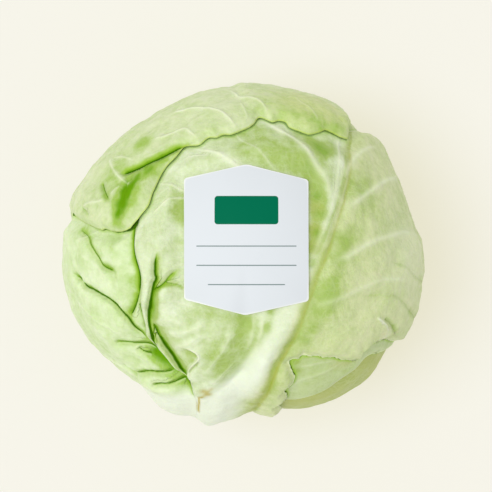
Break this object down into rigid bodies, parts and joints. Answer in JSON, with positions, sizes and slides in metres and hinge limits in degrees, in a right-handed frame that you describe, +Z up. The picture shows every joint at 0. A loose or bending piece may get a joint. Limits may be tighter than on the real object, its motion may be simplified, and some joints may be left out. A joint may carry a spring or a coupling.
{
  "type": "green cabbage",
  "caption": "Green cabbage lying on its side: crumpled wrapper leaves with thick white ribs round a dense head, a cut stem and a plain paper label.",
  "frame": {"origin": "on the surface that the cabbage lies on, under the middle of its box", "axes": "+Z up; the head lies on its side with its cut stem at -Y, a little to -X and tilted down, and its label on the upper side facing +Z"},
  "size_m": [0.1991, 0.1876, 0.1781],
  "materials": {
    "inner_leaf": null,
    "green_leaf": null,
    "stem": null,
    "label_paper": "matte white coated paper with a plain green band and plain rules"
  },
  "bodies": {
    "root": {"head": "inner_leaf", "stem": "stem", "leaf_under": "green_leaf", "leaf_right": "green_leaf", "leaf_back": "green_leaf", "leaf_left": "green_leaf", "leaf_front": "green_leaf", "leaf_top": "green_leaf", "label": "label_paper"}
  },
  "joints": []
}
